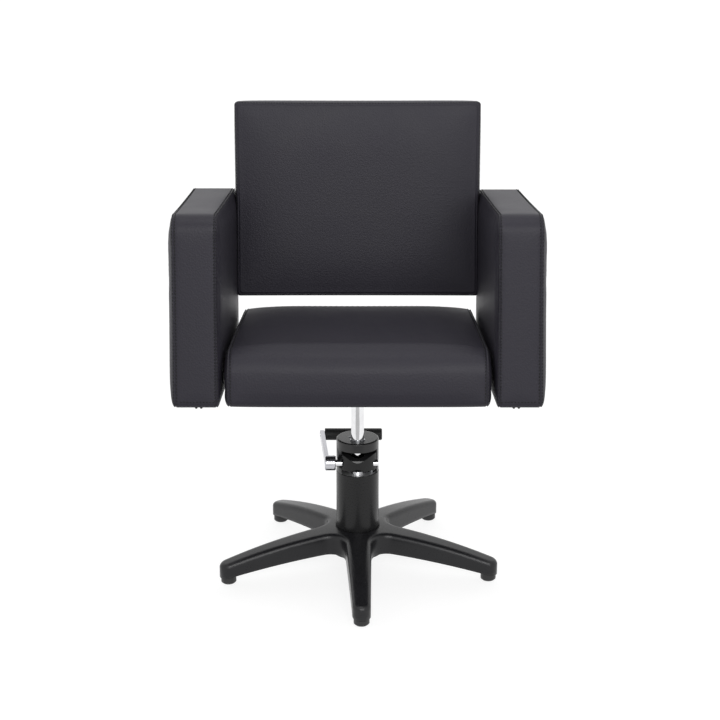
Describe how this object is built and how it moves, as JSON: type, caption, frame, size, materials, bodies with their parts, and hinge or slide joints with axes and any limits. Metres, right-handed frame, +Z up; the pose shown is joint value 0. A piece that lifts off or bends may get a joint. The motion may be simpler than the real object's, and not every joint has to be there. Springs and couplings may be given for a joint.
{
  "type": "hydraulic salon chair",
  "caption": "Hydraulic salon styling chair with block arms, upholstered seat and back, foot-pump lever, swivelling ram and a star base.",
  "frame": {"origin": "on the floor in the middle of the star base, on the axis of the pump", "axes": "+Z up along the ram, -Y to the front of the seat, +X to the sitter's left"},
  "size_m": [0.6584, 0.5919, 0.8991],
  "materials": {
    "black_casting": "satin black powder coat on cast aluminium",
    "black_plate": "black paint on welded steel",
    "black_roll": "gloss black paint on turned steel",
    "black_tube": "satin black paint on steel",
    "black_vinyl": "black vinyl upholstery leather with a fine grain",
    "bronze": "turned bronze",
    "chrome": "polished chrome plate",
    "dark_steel": "oiled turned steel",
    "glide_plastic": "moulded black nylon",
    "pedal_rubber": "moulded black rubber",
    "plywood": "plain plywood",
    "pump_aluminium": "turned aluminium",
    "spacer_plastic": "turned black plastic",
    "zinc_steel": "bright zinc plate"
  },
  "bodies": {
    "root": {"star_base": "black_casting", "pump_tube": "black_tube", "pump_foot": "dark_steel", "ram_cylinder": "dark_steel", "cylinder_block": "pump_aluminium", "plunger_barrel": "dark_steel", "plunger_spring": "zinc_steel", "pump_head": "black_tube", "gland_ring": "zinc_steel", "filler_screw": "zinc_steel", "foot_screws": "zinc_steel", "glide_front": "glide_plastic", "glide_left": "glide_plastic", "glide_rear_left": "glide_plastic", "glide_rear_right": "glide_plastic", "glide_right": "glide_plastic"},
    "pedal_lever": {"lever_shaft": "chrome", "lever_head": "black_roll", "lever_arm": "chrome", "pedal_core": "dark_steel", "pedal_grip": "pedal_rubber"},
    "plunger": {"plunger": "dark_steel"},
    "ram_guide": {"stop_ring": "bronze"},
    "seat": {"arm_bolts": "zinc_steel", "arm_core_left": "plywood", "arm_core_right": "plywood", "arm_cushion_left": "black_vinyl", "arm_cushion_right": "black_vinyl", "arm_spacers": "spacer_plastic", "back_bolts": "zinc_steel", "back_core": "plywood", "back_cushion": "black_vinyl", "back_spacers": "spacer_plastic", "mounting_plate": "black_plate", "plate_bolts": "zinc_steel", "ram": "chrome", "ram_clip": "dark_steel", "ram_socket": "black_plate", "seat_board": "plywood", "seat_cushion": "black_vinyl", "seat_frame": "plywood", "socket_screws": "dark_steel"}
  },
  "joints": [
    {"name": "lift", "type": "slide", "parent": "root", "child": "ram_guide", "axis": [0, 0, 1], "range_m": [-0.05, 0.08]},
    {"name": "swivel", "type": "hinge", "parent": "ram_guide", "child": "seat", "pos_m": [0, -0.016, 0.35], "axis": [0, 0, 1], "continuous": true},
    {"name": "pedal", "type": "hinge", "parent": "root", "child": "pedal_lever", "pos_m": [0, -0.021, 0.2248], "axis": [-1, 0, 0], "range_deg": [0, 20], "stiffness_Nm_per_rad": 8, "springref_deg": -20.05},
    {"name": "plunger_stroke", "type": "slide", "parent": "root", "child": "plunger", "axis": [0, 0, -1], "range_m": [0, 0.0047], "deforming": ["plunger_spring"]}
  ],
  "couplings": [
    {"joint": "plunger_stroke", "follows": "pedal", "m_per_rad": 0.0132}
  ]
}
